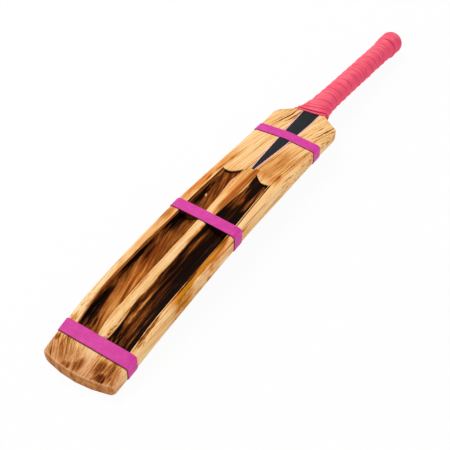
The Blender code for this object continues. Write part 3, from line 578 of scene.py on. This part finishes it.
def wood_tone(paint, wood):
    """How dark the wood is everywhere, from 0, bare, to 1, charred."""
    off_middle = paint.math("ABSOLUTE", wood.across)
    hollow = paint.blend(
        paint.rise(wood.across, -0.5, 0.5), right_scoop_tone(paint, wood), left_scoop_tone(paint, wood))
    # A dark line along each scoop's mouth: partly burn, partly painted shadow of the step there
    mouth = paint.less(paint.line(off_middle, *MOUTH_ACROSS, *MOUTH_ALONG), wood.along)
    hollow = paint.add(hollow, paint.times(paint.rise(mouth, 3.2, 1.6), paint.rise(mouth, -3, -1, 0, 0.4)))

    # The spine between the scoops stays pale, with soft brown sides
    wavy = paint.push(wood.across, wood.ragged, 2.4)
    crest = spine_share(paint, wood, wavy)
    hollow = paint.blend(crest, hollow, spine_tone(paint, wood))

    # The upper part of the scoops' walls is only browned
    depth = depth_below_rims(paint, wood, off_middle)
    upper_wall = paint.times(paint.rise(depth, 5.2, 3.4), paint.rise(wood.across, 33.0, 35.5))
    browned = paint.add(paint.tones(wood.grain, 0.30, 0.55), paint.rise(depth, 1.8, 1.0, 0.0, 0.35))
    hollow = paint.blend(upper_wall, hollow, browned)
    inside = paint.times(
        paint.rise(depth, 0.9, 1.6), paint.window(wood.along, SCOOP_START - 0.5, SCOOP_START + 0.5, 384, 386),
        paint.window(wood.across, -44.5, -43.5, 42.8, 43.5))
    inside = paint.most(inside, paint.times(crest, paint.rise(wood.along, 396, 384)))
    outside = paint.add(outside_tone(paint, wood), arris_scorches(paint, wood))
    tone = paint.blend(inside, outside, hollow)

    # The spine's right flank is browner, and speckles go over everything but the end face
    flank = paint.times(
        paint.rise(wavy, 2.2, -4.5), paint.window(wood.along, 262, 300, 390, 397),
        paint.rise(wood.across, -13, -10), paint.tones(wood.grain, 0.36, 0.56))
    speckle = paint.times(paint.tones(wood.fine, -0.05, 0.05), paint.rise(wood.past_toe, 0.2, 2.5, 0.2, 1.0))
    return paint.add(paint.most(tone, flank), speckle)


def willow():
    """Pale willow with its grain, scorched by hand: dark in the scoops, streaked round them."""
    paint = Paint("scorched_willow")
    wood = wood_places(paint)
    colour = paint.ramp(wood_tone(paint, wood), [
        (0.0, tint(255, 222, 172)), (0.14, tint(250, 200, 136)), (0.28, tint(230, 166, 94)),
        (0.42, tint(190, 113, 46)), (0.56, tint(138, 72, 22)), (0.70, tint(80, 38, 12)),
        (0.84, tint(35, 13, 4)), (1.0, tint(13, 5, 3)),
    ])
    colour = paint.blend(paint.spots(wood.moved, AMBER), colour, tint(246, 176, 84), "MULTIPLY")
    honey = paint.ramp(wood.grain, [(0.3, tint(226, 150, 30)), (0.7, tint(160, 84, 12))])
    colour = paint.blend(paint.spots(wood.moved, HONEY), colour, honey)
    colour = paint.blend(wood.on_toe, colour, tint(240, 232, 255), "MULTIPLY")

    # Painted shadow: a dark line on the wood where each tape band meets it on its toe side
    for at, skew in BANDS.values():
        edge = paint.add((at - BAND_WIDTH / 2) * 1000, paint.times(wood.across, skew / BLADE_HALF))
        off = paint.math("ABSOLUTE", paint.less(wood.along, edge, 0.2))
        colour = paint.blend(paint.rise(off, 2.2, 0.7, 0.0, 0.9), colour, tint(72, 30, 38), "MULTIPLY")
    paint.feed(paint.shader.inputs["Base Color"], colour)
    paint.feed(paint.shader.inputs["Roughness"], paint.line(wood.grain, 0.2, 0.8, 0.42, 0.60))
    paint.shader.inputs["Specular IOR Level"].default_value = 0.02
    paint.bump(paint.add(wood.grain, paint.times(wood.fine, 0.5)), 0.0005, 0.8)
    return paint.material


# Tape, film and the plainer materials


def tape():
    """Glossy magenta tape: faint mottling, long stretch marks and a fine cloth texture."""
    paint = Paint("magenta_tape")
    mottle = paint.noise(paint.place, (0.12, 0.12, 0.12))
    stretch = paint.noise(paint.place, (0.9, 0.05, 0.05))
    paint.feed(paint.shader.inputs["Base Color"], paint.clouds(mottle, (203, 46, 146), (220, 62, 160)))
    paint.feed(paint.shader.inputs["Roughness"], paint.tones(stretch, 0.42, 0.56))
    paint.shader.inputs["Specular IOR Level"].default_value = 0.2
    weave = paint.noise(paint.place, (2.2, 2.2, 2.2), 2.0)
    paint.bump(paint.add(stretch, paint.times(weave, 0.35)), 0.0003, 0.5)
    return paint.material


def film():
    """Charcoal film over the splice, a little scuffed."""
    paint = Paint("charcoal_film")
    cloud = paint.noise(paint.place, (0.08, 0.3, 0.1), 4.0)
    scuff = paint.noise(paint.place, (0.3, 0.9, 0.4))
    paint.feed(paint.shader.inputs["Base Color"], paint.clouds(cloud, (17, 21, 23), (30, 35, 37)))
    paint.feed(paint.shader.inputs["Roughness"], paint.tones(scuff, 0.38, 0.58))
    paint.shader.inputs["Specular IOR Level"].default_value = 0.09
    paint.bump(scuff, 0.0002, 0.5)
    return paint.material


def plain_stuff(name, dark, light, roughness, size, stretch=(1, 1, 1)):
    """Simple stuff of two near colours in clouds of a size, for thin trims and covered pieces."""
    paint = Paint(name)
    cloud = paint.noise(paint.place, tuple(s / size for s in stretch), 4.0)
    paint.feed(paint.shader.inputs["Base Color"], paint.clouds(cloud, dark, light))
    paint.shader.inputs["Roughness"].default_value = roughness
    paint.bump(cloud, 0.0002, 0.5)
    return paint.material


def grip_tape():
    """Coral grip tape: matt and finely pored, with painted shade: deeper pink on its right side, darker along
    the tape's edges, folds and grooves.
    """
    paint = Paint("coral_grip_tape")
    crease_shade = paint.node("ShaderNodeAttribute", attribute_name="crease_shade").outputs["Fac"]
    across = paint.axes(paint.place)[1]
    cloud = paint.noise(paint.place, (0.07, 0.07, 0.07))
    colour = paint.clouds(cloud, (250, 82, 106), (255, 116, 132))
    # Painted shade: the right side, turned from the lamps, is tinted a deeper pink
    colour = paint.blend(paint.rise(across, -3, -17), colour, tint(253, 82, 116))
    # Painted shade: darker pink where the mesh's shade attribute is high, at the tape's edges, folds, grooves
    # and the slit at the hem
    colour = paint.blend(crease_shade, colour, tint(190, 44, 82))
    pores = paint.noise(paint.place, (1.6, 1.6, 1.6))
    rumple = paint.noise(paint.place, (0.30, 0.10, 0.10))
    paint.feed(paint.shader.inputs["Base Color"], colour)
    paint.feed(paint.shader.inputs["Roughness"], paint.tones(pores, 0.5, 0.66))
    paint.shader.inputs["Specular IOR Level"].default_value = 0.15
    paint.bump(paint.add(rumple, paint.times(pores, 0.12)), 0.0022, 0.7)
    return paint.material


# Shape of the grip, from the same rules as in the part's source


def half_width(x):
    return TWINE_RADIUS + (NECK_WIDTH / 2 - TWINE_RADIUS) * math.exp(-(x - NECK_AT) / NECK_FLARE)


def handle_height(x):
    past = x - HANDLE_BEND_AT
    if past <= -HANDLE_BEND_HALF:
        return HANDLE_HEIGHT
    if past >= HANDLE_BEND_HALF:
        return HANDLE_HEIGHT - math.tan(HANDLE_CANT) * past
    return HANDLE_HEIGHT - math.tan(HANDLE_CANT) * (past + HANDLE_BEND_HALF) ** 2 / (4 * HANDLE_BEND_HALF)


def handle_point(x, y, up, middle):
    turned = min(max((x - HANDLE_BEND_AT + HANDLE_BEND_HALF) / (2 * HANDLE_BEND_HALF), 0.0), 1.0)
    angle = math.atan(math.tan(HANDLE_CANT) * turned)
    return (x - ORIGIN_X + up * math.sin(angle), y, middle + up * math.cos(angle))


def oval_point(x, grow, angle):
    """Point of the neck's oval, grown by a wall; a circle further up the handle."""
    past = max(x - NECK_AT, 0.0)
    fade = math.exp(-past / (NECK_FLARE * 0.65))
    level = mix(handle_height(x), NECK_LEVEL, fade)
    c = math.cos(angle)
    s = math.sin(angle)
    tall = mix(TWINE_RADIUS, NECK_BACK if s > 0 else NECK_FRONT, fade)
    power = 2 / (2.0 + 0.5 * math.exp(-past / NECK_FLARE))
    across = (half_width(x) + grow) * math.copysign(abs(c) ** power, c)
    up = (tall + grow) * math.copysign(abs(s) ** power, s)
    return handle_point(x, across, up, level)


def saddle(u, angle):
    """Place along the bat of a ring that follows the slanted, saddle-shaped hem."""
    fade = 1 - smooth((u - HEM_AT) / HEM_FADE)
    return u - (HEM_SADDLE * math.sin(angle) ** 2 + HEM_SLANT * math.cos(angle)) * fade


def collar_radius(x):
    base = TWINE_RADIUS + 2 * GAP + SLEEVE_THICKNESS
    start = HANDLE_END - KNOB_RAMP_START
    end = HANDLE_END - KNOB_RAMP_END
    return mix(base + COLLAR_EDGE, KNOB_RADIUS, min(max((x - start) / (end - start), 0.0), 1.0))


def wrap_inner(u, angle):
    """Height of the wrap's inner side over the handle's own surface."""
    x = saddle(u, angle)
    over_sleeve = 2 * GAP + SLEEVE_THICKNESS
    start = HANDLE_END - KNOB_RAMP_START - WRAP_LEAD
    over_collar = collar_radius(x + WRAP_LEAD) + GAP - TWINE_RADIUS
    return mix(over_sleeve, over_collar, smooth((x - start + WRAP_LEAD) / WRAP_LEAD))


def wander(turn, seed, rate=1.3):
    """Slow, repeatable wandering number between about -1 and 1 along the strip."""
    return noise.noise(Vector((turn * rate, seed, 0.5))) * 2


def wrap_edges(turn):
    """Where the strip's two edges lie along the bat, cut off square at both ends of the grip."""
    first = HEM_AT + WRAP_START - WRAP_TURN_GAP
    low = max(first, first + WRAP_PITCH * (turn - 1) + WRAP_TURN_GAP)
    high = min(first + WRAP_PITCH * turn, CANE_END)
    if low > first:
        low += SEAM_SWAY * wander(turn - 1, 3.0)
    if high < CANE_END:
        high += SEAM_SWAY * wander(turn, 3.0)
    return low, high


def new_piece(name, points, faces, material, crease_shades):
    """Mesh piece that rides on the bat, with each point's share of painted shade in a shade attribute."""
    mesh = bpy.data.meshes.new(name)
    mesh.from_pydata(points, [], faces)
    mesh.materials.append(material)
    mesh.shade_smooth()
    layer = mesh.attributes.new("crease_shade", "FLOAT", "POINT")
    layer.data.foreach_set("value", crease_shades)
    piece = bpy.data.objects.new(name, mesh)
    bpy.context.collection.objects.link(piece)
    return piece


def loft(rings, closed=False):
    """Skin over rings of points, closed into a torus or capped at both ends."""
    count = len(rings[0])
    points = [p for ring in rings for p in ring]
    faces = []
    for i in range(len(rings) if closed else len(rings) - 1):
        a = i * count
        b = (i + 1) % len(rings) * count
        for k in range(count):
            n = (k + 1) % count
            faces.append((a + k, b + k, b + n, a + n))
    if not closed:
        faces.append(tuple(range(count)))
        faces.append(tuple(reversed(range((len(rings) - 1) * count, len(rings) * count))))
    return points, faces


def bell(distance, width):
    return math.exp(-((distance / width) ** 2))


def knob_groove(x, angle):
    """Depth of the two grooves round the foot of the knob; the lower one fades underneath."""
    upper_place, upper_width = UPPER_GROOVE
    lower_place, lower_width = LOWER_GROOVE
    upper = bell(x - HANDLE_END + upper_place, upper_width)
    lower = bell(x - HANDLE_END + lower_place, lower_width)
    return upper + 0.7 * lower * smooth(math.sin(angle) + 0.7)


def tape_section(turn, low, high):
    """One ring round the strip's section, with how much painted shade each point gets. Shares run from low
    edge to high.
    """
    under = (0.0, 0.5, 0.97)
    over = [1.0, 0.99, 0.975, 0.95, 0.925, 0.89] + [0.85 - 0.05 * k for k in range(16)] + [0.06, 0.03, 0.0]
    angle = 2 * math.pi * turn
    ring = []
    for v in under:
        u = mix(low, high, v)
        ring.append(oval_point(saddle(u, angle), wrap_inner(u, angle), angle))
    # How much painted shade each point gets; the hidden inner side gets half
    shade = [0.5] * len(under)
    full = smooth((high - low) / WRAP_PITCH * 1.6)
    near_knob = smooth((low - HANDLE_END + 0.06) / 0.02)
    raised = WRAP_THICK_EDGE * (1.12 - 0.16 * near_knob) * (1 + 0.16 * wander(turn, 8.0, 1.9))
    fold = 0.5 + 0.3 * wander(turn, 15.0, 0.8)
    folded = smooth(wander(turn, 22.0, 1.1) * 1.6 + 0.3)
    for v in over:
        u = mix(low, high, v)
        wall = mix(WRAP_THIN_EDGE, raised, smooth(v * 0.8) / smooth(0.8))
        roll = min((1 - v) * (high - low) / ROLL_LENGTH, 1.0)
        wall *= mix(0.35, 1.0, math.sqrt(roll * (2 - roll)))
        dip = bell((v - fold) * (high - low), FOLD_WIDTH) * folded * full
        groove = knob_groove(saddle(u, angle), angle)
        wall = max(wall - FOLD_DEPTH * dip - GROOVE_DEPTH * groove, THINNEST_TAPE)
        if v < TUCK_SHARE:
            u -= TUCK * (1 - v / TUCK_SHARE) * full
            wall = mix(THINNEST_TAPE, wall, v / TUCK_SHARE)
        ring.append(oval_point(saddle(u, angle), wrap_inner(u, angle) + wall, angle))
        # Painted shade along the rolled and tucked edges, in the folds and in the knob's grooves
        edge = 0.6 * max(1 - (1 - v) / ROLLED_EDGE_SHADE, 0.0) + max(1.3 - v / TUCKED_EDGE_SHADE, 0.0)
        shade.append(min(edge + 0.6 * dip + 0.7 * groove, 1.0))
    return ring, shade


def wound_tape(material):
    """The grip tape as one wound strip: each turn's knob side edge is rolled and laps the next turn."""
    rings = []
    crease_shades = []
    for step in range(SIDES * MOST_TURNS):
        turn = step / SIDES
        low, high = wrap_edges(turn)
        if high - low >= WRAP_POINT_WIDTH:
            ring, shade = tape_section(turn, low, high)
            rings.append(ring)
            crease_shades += shade
        elif rings:
            break
    points, faces = loft(rings)
    piece = new_piece("wound_grip_tape", points, faces, material, crease_shades)
    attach(piece, "root")
    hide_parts("grip_wrap")


def sleeve_wall(u):
    """Wall of the rubber sleeve, thicker in its rolled lip."""
    past = (u - HEM_AT) / LIP_LENGTH
    bulge = math.sqrt(max(1 - (past / 0.5 - 1) ** 2, 0.0)) if past < 0.5 else 1 - smooth((past - 0.5) / 0.5)
    base = SLEEVE_THICKNESS if past > 0.5 else SLEEVE_THICKNESS * 0.4
    return base + (LIP_THICKNESS - base) * bulge


def rolled_sleeve(material):
    """Rubber sleeve under the tape, with its rolled hem at the neck."""
    stations = [HEM_AT + LIP_LENGTH * s for s in (0.0, 0.04, 0.12, 0.24, 0.38, 0.52, 0.66, 0.8, 0.92, 1.0)]
    stations += [HEM_AT + d for d in (0.0042, 0.0055, 0.008, 0.011, 0.015, 0.020, 0.028, 0.040, 0.055, 0.075)]
    stations += [mix(HEM_AT + 0.10, CANE_END, i / 8) for i in range(9)]
    turns = [2 * math.pi * k / SIDES for k in range(SIDES)]
    rings = []
    crease_shades = []
    for u in stations:
        rings.append([oval_point(saddle(u, a), GAP + sleeve_wall(u), a) for a in turns])
        # Painted shade: full from the top of the rolled lip on, where the slit under the tape shows; half on
        # the inside
        crease_shades += [smooth((u - HEM_AT - LIP_LENGTH * 0.7) / (LIP_LENGTH * 0.3))] * SIDES
    for u in reversed(stations):
        rings.append([oval_point(saddle(u, a), GAP, a) for a in turns])
        crease_shades += [0.5] * SIDES
    points, faces = loft(rings, closed=True)
    piece = new_piece("rolled_grip_sleeve", points, faces, material, crease_shades)
    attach(piece, "root")
    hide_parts("grip_sleeve")


def rounded_end(material):
    """Rounded rubber end of the knob, slightly puckered round its rim."""
    shape = [(0.0, 0.0)]
    for k in range(PLUG_STEPS + 1):
        angle = math.radians(90 * k / PLUG_STEPS)
        drop = PLUG_ROUND * (1 - math.sin(angle))
        shape.append((PLUG_THICKNESS - drop, PLUG_ROUND * (1 - math.cos(angle))))
    flat = PLUG_RADIUS - PLUG_ROUND
    shape += [(PLUG_THICKNESS, PLUG_ROUND + flat * s) for s in (0.2, 0.45, 0.7, 0.9)]
    foot = CANE_END + GAP
    rings = []
    for along, inset in shape:
        ring = []
        for k in range(SIDES):
            angle = 2 * math.pi * k / SIDES
            size = PLUG_RADIUS - inset
            x, y, z = handle_point(foot, size * math.cos(angle), size * math.sin(angle), handle_height(foot))
            pucker = abs(noise.noise(Vector((math.cos(angle) * 3, math.sin(angle) * 3, inset * 300))))
            out = along - PUCKER_DEPTH * pucker * smooth(along / PLUG_THICKNESS)
            ring.append((x + out * math.cos(HANDLE_CANT), y, z - out * math.sin(HANDLE_CANT)))
        rings.append(ring)
    points, faces = loft(rings)
    # Painted shade round the end's rim, where it meets the tape
    crease_shades = [0.4] * SIDES + [0.0] * (SIDES * (len(rings) - 1))
    piece = new_piece("rounded_knob_end", points, faces, material, crease_shades)
    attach(piece, "root")
    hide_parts("butt_end_plug")


# CAD pieces that stay, with better materials


def dress(name, material):
    """Give a CAD piece a material; welded and shaded smooth over its gentle bends only."""
    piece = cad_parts[name]
    for slot in piece.material_slots:
        slot.material = material
    piece.data.shade_smooth()
    weld = piece.modifiers.new("weld", "WELD")
    weld.merge_threshold = WELD_REACH
    split = piece.modifiers.new("split", "EDGE_SPLIT")
    split.split_angle = math.radians(SMOOTH_BELOW)


add_camera()
add_stage()
add_light()

grip = grip_tape()
wound_tape(grip)
rolled_sleeve(grip)
rounded_end(grip)

dress("blade", willow())
band = tape()
for place in BANDS:
    dress(f"{place}_binding_band", band)
dress("splice_cover", film())
pink = plain_stuff("pale_pink_piping", (240, 164, 172), (255, 196, 196), 0.5, 3.0)
dress("splice_piping_left", pink)
dress("splice_piping_right", pink)
cane = plain_stuff("cane", (196, 158, 100), (222, 188, 130), 0.6, 6.0, (0.1, 1, 1))
rubber = plain_stuff("dark_rubber", (30, 30, 32), (48, 48, 50), 0.8, 3.0)
twine = plain_stuff("glued_twine", (176, 156, 118), (206, 188, 150), 0.75, 1.2, (4, 1, 1))
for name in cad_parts:
    if name.startswith("cane_strip_"):
        dress(name, cane)
    elif name.startswith("rubber_strip_") or name == "butt_collar":
        dress(name, rubber)
dress("twine_binding", twine)

bpy.context.scene.view_settings.view_transform = "Standard"
